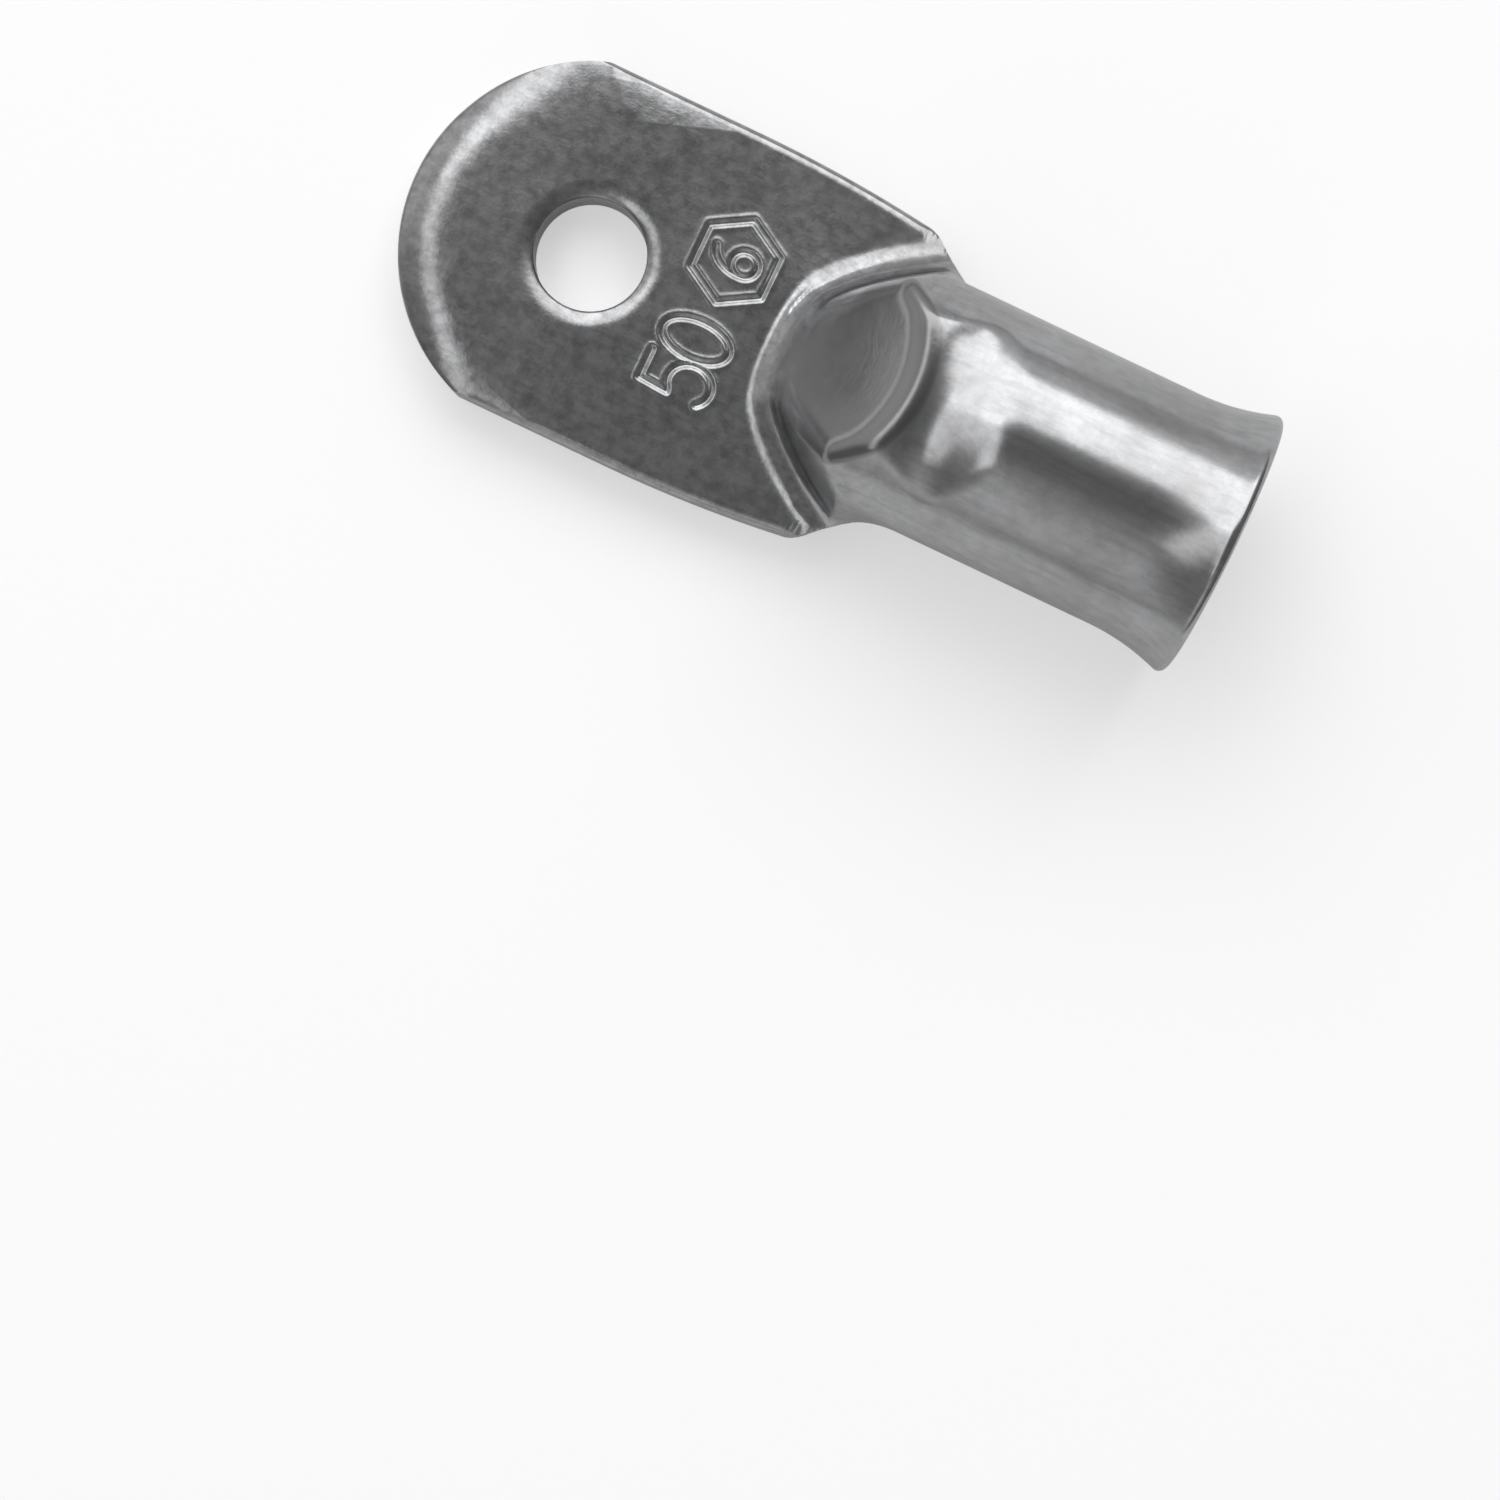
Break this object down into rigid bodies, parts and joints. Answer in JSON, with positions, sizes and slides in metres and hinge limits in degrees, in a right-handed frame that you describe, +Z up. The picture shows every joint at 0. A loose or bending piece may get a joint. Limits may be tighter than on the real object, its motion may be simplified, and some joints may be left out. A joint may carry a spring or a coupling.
{
  "type": "tubular cable lug",
  "caption": "Tin-plated tubular cable lug: round barrel with a bell mouth for the cable, pressed flat into a palm with a stud hole.",
  "frame": {"origin": "centre of the stud hole on the flat underside of the palm", "axes": "+X along the tube towards the bell mouth, +Z up the stud hole, +Y across the palm"},
  "size_m": [0.0526, 0.0218, 0.0164],
  "materials": {
    "tinned_copper": "bright tin plate over copper, satin, with fine drawing marks along the barrel and light handling scuffs"
  },
  "bodies": {
    "root": {"cable_lug": "tinned_copper"}
  },
  "joints": []
}
